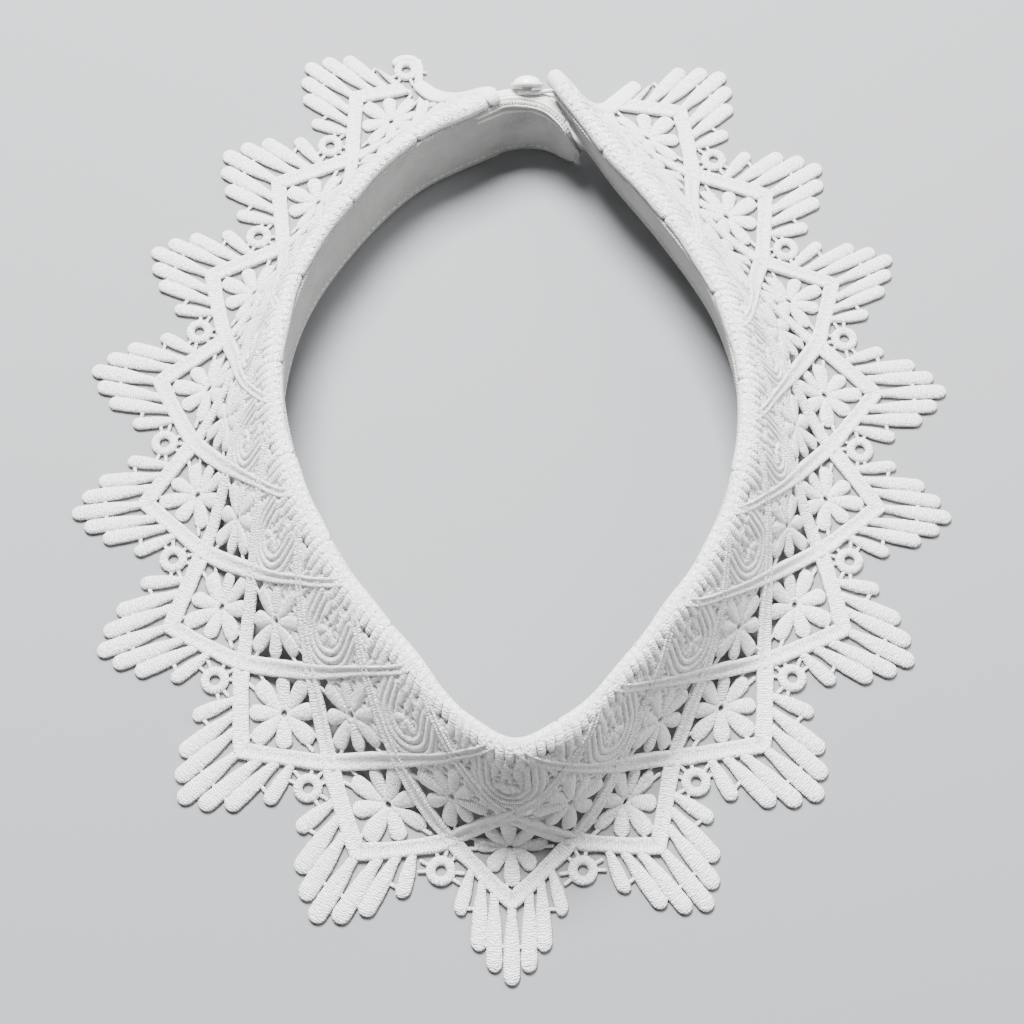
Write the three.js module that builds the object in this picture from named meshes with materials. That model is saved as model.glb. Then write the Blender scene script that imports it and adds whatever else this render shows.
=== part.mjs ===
// Detachable lace collar, buttoned at the centre back and standing by itself on a flat surface.
// A shaped length of pointed guipure lace falls from a rolled neck edge on to the surface, and a plain
// cloth band stands inside it. The band runs on past one end of the lace as an underlap tab, which
// carries a small domed button; a thread loop on the other end goes round the button's shank.
//
// Millimetres, +Z up. The origin is under the middle of the collar, on the surface it stands on.
// +Y points to the centre back, so the collar's pointed front is at -Y.

import * as THREE from 'three';

// ---- Sizes ------------------------------------------------------------------------------------

const SCALLOPS = 17;          // pointed scallops from one back end to the other
const LACE_WALL = 1.5;        // thickness of the embroidered lace
const CHEVRON_DEPTH = 11;     // from the valley line out to the point of the zigzag band
const FINGER_LENGTH = 16.5;   // from that point to the tip of the longest finger
const VALLEY_REACH = 9.5;     // how far the fringe reaches out in the valley between two scallops
const FOOT_HANDLE = 0.45;     // how soon the lace leaves the surface, as a share of its run inwards
const FRONT_STEEPER = 0.25;   // how much less that is at the front, where the lace stands steepest
const FRONT_SPREAD = 1.4;     // how far round from the front that reaches, in scallops
const ROLL_RISE = 0.30;       // how far the rolled neck edge climbs first, as a share of its height
const ROLL_BACK = 0.12;       // how far that roll leans outwards, as a share of the lace's run
const SEAM_GAP = 0.3;         // between the lace's neck edge and the band below it

const HEM_WIDTH = 4;          // plain strip that finishes each back end of the lace
const HEM_REACH = 7;          // how far out past the valley line the strip runs
const HEM_GAP = 0.55;         // between a hem and the lace, at the valley line

const BAND_HEIGHT = 19;       // the cloth band inside the neck
const BAND_WALL = 1.2;
const BAND_SHORT = 0.12;      // how far the band stops short of the lace's right end, in scallops
const TAB_CORNER = 5;         // radius of the tab's rounded lower corner
const TAB_LEAD = 0.4;         // where the tab's curve takes up the band's direction, in scallops

const BUTTON_RADIUS = 4;
const BUTTON_RIM = 0.9;       // thickness of the button at its rim
const BUTTON_DOME = 1.3;      // how far its face is crowned
const BUTTON_TILT = THREE.MathUtils.degToRad(30);   // its face looks back and a little up
const BUTTON_SEAT = { x: 3.6, y: 88.3, z: 18.4 };   // end of the shank, at the tab's outer face
const SHANK_RADIUS = 1.1;
const SHANK_LENGTH = 2.4;

const LOOP_THREAD = 0.5;      // radius of the covered thread loop
const LOOP_RADIUS = 1.95;     // of the loop's turn round the shank
const LOOP_LIFT = 1.15;       // from the end of the shank to the loop's plane, along the shank
const LOOP_UPPER_END = { x: 13.0, y: 91.4, z: 18.5 };    // both ends meet the lace's under face
const LOOP_LOWER_END = { x: 14.8, y: 92.6, z: 13.7 };

// One row for each valley between two scallops, from the back end round to the front: where the valley
// lies on the surface, and where the rolled neck edge above it is.
const LEFT_SIDE = [
  { valleyX: -21.2, valleyY: 106.5, neckX: -2.8, neckY: 87.2, neckZ: 20.0 },
  { valleyX: -39.1, valleyY: 84.0, neckX: -24.0, neckY: 74.0, neckZ: 20.5 },
  { valleyX: -54.7, valleyY: 58.5, neckX: -38.6, neckY: 55.7, neckZ: 21.0 },
  { valleyX: -66.5, valleyY: 33.7, neckX: -48.0, neckY: 35.2, neckZ: 21.7 },
  { valleyX: -71.9, valleyY: 6.9, neckX: -50.5, neckY: 12.6, neckZ: 22.5 },
  { valleyX: -67.9, valleyY: -19.4, neckX: -45.5, neckY: -10.1, neckZ: 23.5 },
  { valleyX: -57.6, valleyY: -45.3, neckX: -35.4, neckY: -30.7, neckZ: 24.8 },
  { valleyX: -38.0, valleyY: -67.0, neckX: -22.0, neckY: -49.1, neckZ: 26.0 },
  { valleyX: -12.6, valleyY: -82.8, neckX: -8.5, neckY: -65.3, neckZ: 27.3 },
];
const FRONT_POINT = { neckX: 0.8, neckY: -70.2, neckZ: 28.0 };
const RIGHT_SIDE = [
  { valleyX: 22.8, valleyY: 100.7, neckX: 8.7, neckY: 90.7, neckZ: 23.0 },
  { valleyX: 44.0, valleyY: 79.5, neckX: 20.7, neckY: 73.3, neckZ: 20.8 },
  { valleyX: 59.4, valleyY: 54.9, neckX: 33.4, neckY: 55.7, neckZ: 21.0 },
  { valleyX: 70.8, valleyY: 32.2, neckX: 44.6, neckY: 35.2, neckZ: 21.7 },
  { valleyX: 71.9, valleyY: 5.8, neckX: 49.4, neckY: 12.6, neckZ: 22.5 },
  { valleyX: 67.7, valleyY: -19.4, neckX: 47.2, neckY: -10.1, neckZ: 23.5 },
  { valleyX: 54.3, valleyY: -44.4, neckX: 38.7, neckY: -30.7, neckZ: 24.8 },
  { valleyX: 33.7, valleyY: -65.9, neckX: 25.7, neckY: -49.1, neckZ: 26.0 },
  { valleyX: 12.2, valleyY: -82.8, neckX: 11.2, neckY: -65.3, neckZ: 27.3 },
];
const MIDDLE = new THREE.Vector3(0.9, 0.2, 0);   // middle of the outline, moved to the origin

// The tab's upper edge, from just past the left end of the lace to the tab's own end.
const TAB_ROUTE = [
  { x: 2.6, y: 87.6, z: 19.5 },
  { x: 8.0, y: 86.0, z: 19.2 },
  { x: 12.0, y: 82.0, z: 18.6 },
];
// How far the band's lower edge stands outside its upper edge, at even shares of the way round.
const BAND_LEAN = [0, 0.6, 2.2, 3.6, 3.6, 2.5, 3.4, 3.8, 4.2, 5, 6.5];

// Steps of the faceted surfaces.
const SCALLOP_STEPS = 6;      // round the lace, for each scallop
const FRINGE_STEPS = 3;       // across the fringe
const FALL_STEPS = 8;         // from the valley line up to the neck edge
const BAND_STEPS = 3;         // round the band, for each scallop
const BAND_ROWS = 4;
const TAB_STEPS = 8;
const DOME_STEPS = 5;

// ---- Finishes ---------------------------------------------------------------------------------

const finish = (color, roughness) => new THREE.MeshStandardMaterial({ color, roughness, metalness: 0 });
const LACE_THREAD = finish('#f2f1ee', 0.75);
const BAND_CLOTH = finish('#e6e5e3', 0.9);
const HEM_CLOTH = finish('#efeeeb', 0.8);
const BUTTON_GLOSS = finish('#f6f5f2', 0.25);
const LOOP_CORD = finish('#efeeeb', 0.7);

// ---- The collar's form ------------------------------------------------------------------------
// Places on the lace are given by `around`, counted in scallops from the left back end, and `across`.

const place = (x, y, z) => new THREE.Vector3(x, y, z).sub(MIDDLE);
const valleyPlace = (row) => place(row.valleyX, row.valleyY, 0);
const neckPlace = (row) => place(row.neckX, row.neckY, row.neckZ);

const rightToBack = [...RIGHT_SIDE].reverse();
const valleyCurve = new THREE.CatmullRomCurve3([...LEFT_SIDE, ...rightToBack].map(valleyPlace));
const neckCurve = new THREE.CatmullRomCurve3([...LEFT_SIDE, FRONT_POINT, ...rightToBack].map(neckPlace));
neckCurve.arcLengthDivisions = 1000;

function valleyLine(around) {
  return valleyCurve.getPoint(around / SCALLOPS);
}

function neckEdge(around) {
  return neckCurve.getPointAt(THREE.MathUtils.clamp(around / SCALLOPS, 0, 1));
}

function scallopAt(around) {
  return Math.min(Math.floor(around), SCALLOPS - 1);
}

function squareOut(scallop) {
  const chord = valleyLine(scallop + 1).sub(valleyLine(scallop)).normalize();
  return new THREE.Vector3(chord.y, -chord.x, 0);
}

// Direction of the fringe on the surface: square to its own scallop, and turned half way towards the
// next scallop's in the valley between them.
function outward(around) {
  const scallop = scallopAt(around);
  const fromMiddle = around - scallop - 0.5;
  const next = THREE.MathUtils.clamp(scallop + Math.sign(fromMiddle), 0, SCALLOPS - 1);
  const turn = 0.5 * THREE.MathUtils.smoothstep(Math.abs(fromMiddle), 0.35, 0.5);
  return squareOut(scallop).lerp(squareOut(next), turn).normalize();
}

function footHandle(around) {
  const fromFront = (around - SCALLOPS / 2) / FRONT_SPREAD;
  return FOOT_HANDLE - FRONT_STEEPER * Math.exp(-fromFront * fromFront);
}

// Under face of the lace. Below 0, `across` is the fringe, in millimetres out from the valley line; from
// 0 to 1 the lace climbs from the valley line to the rolled neck edge.
function laceFace(around, across) {
  const foot = valleyLine(around);
  if (across < 0) return foot.addScaledVector(outward(around), -across);
  const neck = neckEdge(around);
  const run = neck.clone().sub(foot).setZ(0);
  const low = foot.clone().addScaledVector(run, footHandle(around));
  const high = neck.clone().addScaledVector(run, -ROLL_BACK);
  high.z += ROLL_RISE * neck.z;
  return new THREE.CubicBezierCurve3(foot, low, high, neck).getPoint(across);
}

function laceNormal(around, across) {
  if (across <= 0) return new THREE.Vector3(0, 0, 1);
  const step = 0.01;
  const along = laceFace(Math.min(around + step, SCALLOPS), across)
    .sub(laceFace(Math.max(around - step, 0), across));
  const up = laceFace(around, Math.min(across + step, 1)).sub(laceFace(around, across - step));
  return along.cross(up).normalize();
}

// Closed wall between two grids of points, given as rows of the same length.
function wallBetween(under, over) {
  const lastRow = under.length - 1;
  const lastColumn = under[0].length - 1;
  const positions = [...under.flat(), ...over.flat()].flatMap((point) => point.toArray());
  const low = (row, column) => row * (lastColumn + 1) + column;
  const top = (row, column) => low(row, column) + (lastRow + 1) * (lastColumn + 1);
  const index = [];
  const quad = (a, b, c, d) => index.push(a, b, c, a, c, d);
  for (let row = 0; row < lastRow; row += 1) {
    for (let column = 0; column < lastColumn; column += 1) {
      quad(top(row, column), top(row + 1, column), top(row + 1, column + 1), top(row, column + 1));
      quad(low(row, column), low(row, column + 1), low(row + 1, column + 1), low(row + 1, column));
    }
    quad(low(row, 0), low(row + 1, 0), top(row + 1, 0), top(row, 0));
    quad(top(row, lastColumn), top(row + 1, lastColumn), low(row + 1, lastColumn), low(row, lastColumn));
  }
  for (let column = 0; column < lastColumn; column += 1) {
    quad(low(0, column + 1), low(0, column), top(0, column), top(0, column + 1));
    quad(low(lastRow, column), low(lastRow, column + 1), top(lastRow, column + 1), top(lastRow, column));
  }
  const geometry = new THREE.BufferGeometry();
  geometry.setAttribute('position', new THREE.Float32BufferAttribute(positions, 3));
  geometry.setIndex(index);
  geometry.computeVertexNormals();
  return geometry;
}

// Wall of the lace's thickness over a patch of the collar, at the given places round it and across it.
function lacePatch(arounds, acrossAt) {
  const under = arounds.map((around) => acrossAt(around).map((across) => laceFace(around, across)));
  const over = arounds.map((around, row) => acrossAt(around).map((across, column) => (
    under[row][column].clone().addScaledVector(laceNormal(around, across), LACE_WALL))));
  return wallBetween(under, over);
}

// ---- Pieces -----------------------------------------------------------------------------------

const pitch = valleyLine(0).distanceTo(valleyLine(1));
const hemShare = HEM_WIDTH / pitch;       // width of a hem, in scallops
const gapShare = HEM_GAP / pitch;
const fallSteps = Array.from({ length: FALL_STEPS + 1 }, (_, step) => step / FALL_STEPS);

// How far the fringe reaches out: a straight-sided point over each scallop.
function fringeReach(around) {
  const fromMiddle = 2 * Math.abs(around - scallopAt(around) - 0.5);
  return THREE.MathUtils.lerp(CHEVRON_DEPTH + FINGER_LENGTH, VALLEY_REACH, fromMiddle);
}

function laceFall() {
  const arounds = [hemShare + gapShare];
  for (let step = 1; step < SCALLOPS * SCALLOP_STEPS; step += 1) arounds.push(step / SCALLOP_STEPS);
  arounds.push(SCALLOPS - hemShare - gapShare);
  return lacePatch(arounds, (around) => {
    const fringe = [];
    for (let step = FRINGE_STEPS; step > 0; step -= 1) {
      fringe.push(-fringeReach(around) * (step / FRINGE_STEPS));
    }
    return [...fringe, ...fallSteps];
  });
}

function endHem(from, to) {
  return lacePatch([from, (from + to) / 2, to], () => [-HEM_REACH, ...fallSteps]);
}

// Stations of the tab from its end to the left end of the lace, in the way that bandStations gives them.
function tabStations() {
  const route = TAB_ROUTE.map((row) => place(row.x, row.y, row.z)).reverse();
  const start = neckEdge(0);
  const lead = neckEdge(TAB_LEAD);
  const curve = new THREE.CatmullRomCurve3([...route, start, lead]);
  const length = curve.getLength();
  const tabLength = length - start.distanceTo(lead);
  return Array.from({ length: TAB_STEPS }, (_, step) => {
    const fromEnd = tabLength * (step / TAB_STEPS) ** 1.5;
    return { top: curve.getPointAt(fromEnd / length), lean: 0, fromEnd };
  });
}

// Stations of the band: its upper edge, which hangs just under the lace's neck edge, how far its lower
// edge stands outside that, and how far the station is from the end of the tab.
function bandStations() {
  const stations = tabStations();
  const steps = BAND_STEPS * SCALLOPS;
  for (let step = 0; step <= steps; step += 1) {
    const place = (step / steps) * (BAND_LEAN.length - 1);
    const whole = Math.min(Math.floor(place), BAND_LEAN.length - 2);
    const lean = THREE.MathUtils.lerp(BAND_LEAN[whole], BAND_LEAN[whole + 1], place - whole);
    const top = neckEdge((step / steps) * (SCALLOPS - BAND_SHORT));
    stations.push({ top, lean, fromEnd: Infinity });
  }
  stations.forEach((station) => { station.top.z -= SEAM_GAP; });
  return stations;
}

function neckBand() {
  const stations = bandStations();
  const inner = [];
  const outer = [];
  stations.forEach(({ top, lean, fromEnd }, station) => {
    const before = stations[Math.max(station - 1, 0)].top;
    const after = stations[Math.min(station + 1, stations.length - 1)].top;
    const along = after.clone().sub(before).setZ(0).normalize();
    const out = new THREE.Vector3(along.y, -along.x, 0);
    const inCorner = Math.max(TAB_CORNER - fromEnd, 0);
    const corner = TAB_CORNER - Math.sqrt(TAB_CORNER ** 2 - inCorner ** 2);
    const bottom = Math.max(top.z - BAND_HEIGHT, 0) + corner;
    const outerRow = Array.from({ length: BAND_ROWS + 1 }, (_, row) => {
      const share = row / BAND_ROWS;
      const height = THREE.MathUtils.lerp(bottom, top.z - corner / 2, share);
      return top.clone().setZ(height).addScaledVector(out, lean * (1 - share));
    });
    outer.push(outerRow);
    inner.push(outerRow.map((point) => point.clone().addScaledVector(out, -BAND_WALL)));
  });
  return wallBetween(inner, outer);
}

// Domed shank button about its own axis: the end of the shank is at the origin, and it faces +Y.
function buttonShape() {
  const back = SHANK_LENGTH;
  const rim = back + BUTTON_RIM;
  const edge = 0.4;
  const profile = [
    [0, 0], [SHANK_RADIUS, 0], [SHANK_RADIUS, back], [BUTTON_RADIUS - edge, back],
    [BUTTON_RADIUS, back + edge],
  ];
  for (let step = 0; step < DOME_STEPS; step += 1) {
    const angle = (step / DOME_STEPS) * Math.PI / 2;
    profile.push([BUTTON_RADIUS * Math.cos(angle), rim + BUTTON_DOME * Math.sin(angle)]);
  }
  profile.push([0, rim + BUTTON_DOME]);
  return new THREE.LatheGeometry(profile.map(([radius, height]) => new THREE.Vector2(radius, height)), 28);
}

// Thread loop from under the right end of the lace, round the shank between the tab and the button.
function loopShape() {
  const beside = (sideways, up) => new THREE.Vector3(sideways, LOOP_LIFT, up)
    .applyAxisAngle(new THREE.Vector3(1, 0, 0), BUTTON_TILT)
    .add(place(BUTTON_SEAT.x, BUTTON_SEAT.y, BUTTON_SEAT.z));
  const turn = [60, 90, 135, 180, 225, 270, 300].map((degrees) => {
    const angle = THREE.MathUtils.degToRad(degrees);
    return beside(LOOP_RADIUS * Math.cos(angle), LOOP_RADIUS * Math.sin(angle));
  });
  const ends = [LOOP_UPPER_END, LOOP_LOWER_END].map((end) => place(end.x, end.y, end.z));
  const path = new THREE.CatmullRomCurve3([ends[0], ...turn, ends[1]]);
  const section = new THREE.Shape();
  section.absarc(0, 0, LOOP_THREAD, 0, 2 * Math.PI);
  return new THREE.ExtrudeGeometry(section, { steps: 30, curveSegments: 8, extrudePath: path });
}

// ---- The collar -------------------------------------------------------------------------------

const group = new THREE.Group();

function add(name, geometry, material) {
  const mesh = new THREE.Mesh(geometry, material);
  mesh.name = name;
  group.add(mesh);
  return mesh;
}

add('lace_fall', laceFall(), LACE_THREAD);
add('hem_left', endHem(0, hemShare), HEM_CLOTH);
add('hem_right', endHem(SCALLOPS - hemShare, SCALLOPS), HEM_CLOTH);
add('neck_band', neckBand(), BAND_CLOTH);
add('button_loop', loopShape(), LOOP_CORD);

const button = add('button', buttonShape(), BUTTON_GLOSS);
button.rotation.x = BUTTON_TILT;
button.position.copy(place(BUTTON_SEAT.x, BUTTON_SEAT.y, BUTTON_SEAT.z));

export default group;
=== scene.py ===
"""A detachable lace collar, buttoned at the centre back and standing by itself on a pale floor.

Pointed guipure lace, worked in bars of satin stitch, falls from a rolled neck edge on to the floor. A
plain cloth band stands inside it and runs on as a tab under the button. The lace is worked flat, one
repeat for each scallop, then draped over the collar's form. Lengths are millimetres until a mesh is
finished, and metres in the scene.
"""
import logging
import math
import random
from dataclasses import dataclass, field
from enum import Enum
from typing import Callable, Iterator, NamedTuple, Sequence

import bmesh
import bpy
import numpy as np
from mathutils import Matrix, Vector


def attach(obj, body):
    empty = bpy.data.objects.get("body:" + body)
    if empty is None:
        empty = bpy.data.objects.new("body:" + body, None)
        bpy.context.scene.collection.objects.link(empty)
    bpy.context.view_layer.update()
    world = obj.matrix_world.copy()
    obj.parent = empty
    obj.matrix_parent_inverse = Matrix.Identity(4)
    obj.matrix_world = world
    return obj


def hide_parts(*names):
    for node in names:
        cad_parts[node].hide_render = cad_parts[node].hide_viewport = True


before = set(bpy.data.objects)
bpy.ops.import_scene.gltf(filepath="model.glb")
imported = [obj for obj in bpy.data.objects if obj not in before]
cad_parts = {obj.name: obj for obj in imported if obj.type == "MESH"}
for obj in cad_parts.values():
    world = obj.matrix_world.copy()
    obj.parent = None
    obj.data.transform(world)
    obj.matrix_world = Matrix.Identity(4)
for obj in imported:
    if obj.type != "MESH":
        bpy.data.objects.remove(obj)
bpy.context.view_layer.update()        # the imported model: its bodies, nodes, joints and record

LOG = logging.getLogger("lace_collar")
MM = 0.001
Point = tuple[float, float]


# ---- The collar's form ---------------------------------------------------------------------------

class ValleyRow(NamedTuple):
    """Where the valley between two scallops lies on the floor, and the neck edge above it."""

    valley_x: float
    valley_y: float
    neck_x: float
    neck_y: float
    neck_z: float


LEFT_SIDE = (
    ValleyRow(-21.2, 106.5, -2.8, 87.2, 20.0),
    ValleyRow(-39.1, 84.0, -24.0, 74.0, 20.5),
    ValleyRow(-54.7, 58.5, -38.6, 55.7, 21.0),
    ValleyRow(-66.5, 33.7, -48.0, 35.2, 21.7),
    ValleyRow(-71.9, 6.9, -50.5, 12.6, 22.5),
    ValleyRow(-67.9, -19.4, -45.5, -10.1, 23.5),
    ValleyRow(-57.6, -45.3, -35.4, -30.7, 24.8),
    ValleyRow(-38.0, -67.0, -22.0, -49.1, 26.0),
    ValleyRow(-12.6, -82.8, -8.5, -65.3, 27.3),
)
RIGHT_SIDE = (
    ValleyRow(22.8, 100.7, 8.7, 90.7, 23.0),
    ValleyRow(44.0, 79.5, 20.7, 73.3, 20.8),
    ValleyRow(59.4, 54.9, 33.4, 55.7, 21.0),
    ValleyRow(70.8, 32.2, 44.6, 35.2, 21.7),
    ValleyRow(71.9, 5.8, 49.4, 12.6, 22.5),
    ValleyRow(67.7, -19.4, 47.2, -10.1, 23.5),
    ValleyRow(54.3, -44.4, 38.7, -30.7, 24.8),
    ValleyRow(33.7, -65.9, 25.7, -49.1, 26.0),
    ValleyRow(12.2, -82.8, 11.2, -65.3, 27.3),
)
FRONT_NECK = (0.8, -70.2, 28.0)
MIDDLE = np.array((0.9, 0.2, 0.0))      # middle of the collar's outline, moved to the origin


def smooth_curve(points: np.ndarray, at: np.ndarray) -> np.ndarray:
    """Centripetal curve through some points.

    Args:
        points: the points it goes through, one a row.
        at: places on it, counted in points from the first.

    Returns:
        The place in space for each value of at.
    """
    first = 2 * points[0] - points[1]
    last = 2 * points[-1] - points[-2]
    padded = np.vstack([first, points, last])
    index = np.clip(np.floor(at).astype(int), 0, len(points) - 2)
    share = (at - index)[:, None]
    before, start, end, after = (padded[index + step] for step in range(4))

    def knot(a: np.ndarray, b: np.ndarray) -> np.ndarray:
        """Square root of the distance between two points."""
        return np.sqrt(np.linalg.norm(b - a, axis=1))[:, None]

    gap0, gap1, gap2 = knot(before, start), knot(start, end), knot(end, after)
    leave = (start - before) / gap0 - (end - before) / (gap0 + gap1) + (end - start) / gap1
    arrive = (end - start) / gap1 - (after - start) / (gap1 + gap2) + (after - end) / gap2
    leave, arrive = leave * gap1, arrive * gap1
    square = 3 * (end - start) - 2 * leave - arrive
    cube = 2 * (start - end) + leave + arrive
    return start + share * (leave + share * (square + share * cube))


def unit(vectors: np.ndarray) -> np.ndarray:
    """The same directions, each of length 1."""
    return vectors / np.maximum(np.linalg.norm(vectors, axis=-1, keepdims=True), 1e-9)


@dataclass
class CollarForm:
    """The collar's shape: it turns places on the flat lace into places in space.

    A flat place is (along, across, height): along the valley line from the left back end, across the lace
    from that line, inwards and up where it is above 0 and out over the fringe below 0, and above the
    lace's under face.
    """

    scallops: int = 17
    pitch: float = 28.0          # flat width of a scallop
    fall: float = 35.0           # from the valley line up to the neck edge
    fringe: float = 30.0         # a little more than the longest finger reaches
    foot_handle: float = 0.45    # how soon the lace leaves the floor, as a share of its run inwards
    front_steeper: float = 0.25  # how much less that is at the front, where the lace stands steepest
    front_spread: float = 1.4    # how far round from the front that reaches, in scallops
    roll_rise: float = 0.30      # how far the rolled neck edge climbs first, as a share of its height
    roll_back: float = 0.12      # how far that roll leans outwards, as a share of the run
    grain: float = 0.5           # spacing of the worked-out places across the lace
    steps: int = 32              # worked-out places round the lace, for each scallop
    places: np.ndarray = field(init=False, repr=False)
    normals: np.ndarray = field(init=False, repr=False)

    def __post_init__(self) -> None:
        """Works out places and normals on an even grid over the flat lace."""
        around = np.linspace(0, self.scallops, self.scallops * self.steps + 1)
        foot, out = self.valley_line(around), self.outward(around)
        across = np.arange(-self.fringe, self.fall + self.grain / 2, self.grain)
        fall = across[across >= 0] / self.fall
        profile = self.profile(around, np.linspace(0, 1, 201))
        length = np.linalg.norm(np.diff(profile, axis=1), axis=2).cumsum(axis=1)
        length = np.hstack([np.zeros((len(around), 1)), length])
        climb = np.stack([
            np.stack([np.interp(fall * run[-1], run, row[:, axis]) for axis in range(3)], axis=1)
            for run, row in zip(length, profile)])
        apron = foot[:, None] - out[:, None] * across[across < 0][None, :, None]
        self.places = np.concatenate([apron, climb], axis=1)
        along = np.gradient(self.places, axis=0)
        up = np.gradient(self.places, axis=1)
        self.normals = unit(np.cross(along, up))
        self.normals[:, across <= 0] = (0.0, 0.0, 1.0)

    @property
    def length(self) -> float:
        """Flat length of the lace along its valley line."""
        return self.scallops * self.pitch

    def valley_line(self, around: np.ndarray) -> np.ndarray:
        """The line through the valleys between the scallops.

        Args:
            around: places round the collar, in scallops from the left back end.

        Returns:
            Its places on the floor.
        """
        rows = (*LEFT_SIDE, *reversed(RIGHT_SIDE))
        points = np.array([(row.valley_x, row.valley_y, 0.0) for row in rows]) - MIDDLE
        return smooth_curve(points, around)

    def neck_edge(self, around: np.ndarray) -> np.ndarray:
        """The rolled neck edge.

        Args:
            around: places round the collar, in scallops, taken as even steps of the edge's own length.

        Returns:
            Its places in space.
        """
        left = [(row.neck_x, row.neck_y, row.neck_z) for row in LEFT_SIDE]
        right = [(row.neck_x, row.neck_y, row.neck_z) for row in reversed(RIGHT_SIDE)]
        points = np.array([*left, FRONT_NECK, *right]) - MIDDLE
        at = np.linspace(0, len(points) - 1, 1001)
        steps = np.linalg.norm(np.diff(smooth_curve(points, at), axis=0), axis=1)
        run = np.concatenate([[0.0], steps.cumsum()])
        share = np.clip(around / self.scallops, 0, 1)
        return smooth_curve(points, np.interp(share * run[-1], run, at))

    def outward(self, around: np.ndarray) -> np.ndarray:
        """Direction of the fringe: square to its scallop, and half way to the next one's in a valley.

        Args:
            around: places round the collar, in scallops.

        Returns:
            A level direction of length 1 for each of them.
        """
        corners = self.valley_line(np.arange(self.scallops + 1.0))
        chord = unit(np.diff(corners, axis=0))
        square = np.stack([chord[:, 1], -chord[:, 0], np.zeros(self.scallops)], axis=1)
        scallop = np.clip(np.floor(around).astype(int), 0, self.scallops - 1)
        from_middle = around - scallop - 0.5
        beside = np.clip(scallop + np.sign(from_middle).astype(int), 0, self.scallops - 1)
        ease = np.clip((np.abs(from_middle) - 0.35) / 0.15, 0, 1)
        turn = (0.5 * ease * ease * (3 - 2 * ease))[:, None]
        return unit(square[scallop] * (1 - turn) + square[beside] * turn)

    def profile(self, around: np.ndarray, share: np.ndarray) -> np.ndarray:
        """The lace's climb from the floor to the neck edge.

        Args:
            around: places round the collar, in scallops.
            share: places on the climb, from 0 at the floor to 1 at the neck edge.

        Returns:
            An array of places, one row for each value of around.
        """
        foot, neck = self.valley_line(around), self.neck_edge(around)
        run = (neck - foot) * (1.0, 1.0, 0.0)
        from_front = (around - self.scallops / 2) / self.front_spread
        low = foot + run * (self.foot_handle - self.front_steeper * np.exp(-from_front ** 2))[:, None]
        high = neck - run * self.roll_back
        high[:, 2] += self.roll_rise * neck[:, 2]
        t = share[None, :, None]
        ends = foot[:, None] * (1 - t) ** 3 + neck[:, None] * t ** 3
        return ends + 3 * t * (1 - t) * (low[:, None] * (1 - t) + high[:, None] * t)

    def lay_fingers(self, flat: np.ndarray) -> np.ndarray:
        """Lays fringe work on the floor, square to its own scallop.

        Args:
            flat: places on the flat lace, as for drape().

        Returns:
            The same places in the scene, in metres.
        """
        around = flat[:, 0] / self.pitch
        middle = np.clip(np.floor(around), 0, self.scallops - 1) + 0.5
        foot = self.valley_line(np.clip(around, 0, self.scallops))
        places = foot - self.outward(middle) * flat[:, 1:2]
        places[:, 2] = flat[:, 2]
        return places * MM

    def lay_in_valley(self, flat: np.ndarray) -> np.ndarray:
        """Lays work on the floor in the valley between two scallops, undistorted.

        Args:
            flat: places on the flat lace, as for drape().

        Returns:
            The same places in the scene, in metres.
        """
        valley = np.clip(np.round(flat[:, 0] / self.pitch), 0, self.scallops)
        out = self.outward(np.minimum(valley, self.scallops - 0.01))
        along = np.stack([-out[:, 1], out[:, 0], out[:, 2]], axis=1)
        places = self.valley_line(valley) - out * flat[:, 1:2]
        places += along * (flat[:, 0:1] - valley[:, None] * self.pitch)
        places[:, 2] = flat[:, 2]
        return places * MM

    def drape(self, flat: np.ndarray) -> np.ndarray:
        """Lays flat work over the form.

        Args:
            flat: places on the flat lace, in millimetres, one a row.

        Returns:
            The same places in the scene, in metres.
        """
        rows, columns = self.places.shape[:2]
        around = flat[:, 0] / self.pitch * self.steps
        across = (flat[:, 1] + self.fringe) / self.grain
        row = np.clip(np.floor(around).astype(int), 0, rows - 2)
        column = np.clip(np.floor(across).astype(int), 0, columns - 2)
        u, v = (around - row)[:, None], (across - column)[:, None]

        def between(grid: np.ndarray) -> np.ndarray:
            """Values at the flat places.

            Args:
                grid: worked-out values over the flat lace.

            Returns:
                One value for each place, blended from the four round it.
            """
            near = grid[row, column] * (1 - u) + grid[row + 1, column] * u
            far = grid[row, column + 1] * (1 - u) + grid[row + 1, column + 1] * u
            return near * (1 - v) + far * v

        return (between(self.places) + between(self.normals) * flat[:, 2:3]) * MM


# ---- Satin stitch --------------------------------------------------------------------------------

class Section(Enum):
    """Cross-section of a satin bar."""

    ROUND = "one domed column"
    TWIN = "two columns with a groove between them"
    FLAT = "flat tape with round edges"


@dataclass(frozen=True)
class Bar:
    """One bar of satin stitch, lying flat."""

    route: tuple[Point, ...]            # its centre line
    width: tuple[float, ...]            # at even shares of the route
    height: float = 1.2
    base: float = 0.0                   # height of its under side
    section: Section = Section.ROUND
    closed: bool = False
    step: float = 1.0                   # longest step along the route
    sides: int = 10


def ring(middle: Point, radius: float, start: float = 0.0, end: float = 360.0, steps: int = 18) -> tuple:
    """Points round an arc; 0 degrees points out to the fringe and 90 along the lace."""
    angles = np.radians(np.linspace(start, end, steps + 1))
    return tuple((middle[0] + radius * math.sin(a), middle[1] - radius * math.cos(a)) for a in angles)


def ray(middle: Point, degrees: float, start: float, end: float) -> tuple[Point, Point]:
    """A straight route out from a middle.

    Args:
        middle: where it is measured from.
        degrees: its direction, as ring() measures it.
        start: how far from the middle it starts.
        end: how far from the middle it ends.

    Returns:
        Its two ends.
    """
    angle = math.radians(degrees)
    along, across = math.sin(angle), -math.cos(angle)
    return tuple((middle[0] + reach * along, middle[1] + reach * across) for reach in (start, end))


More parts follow.
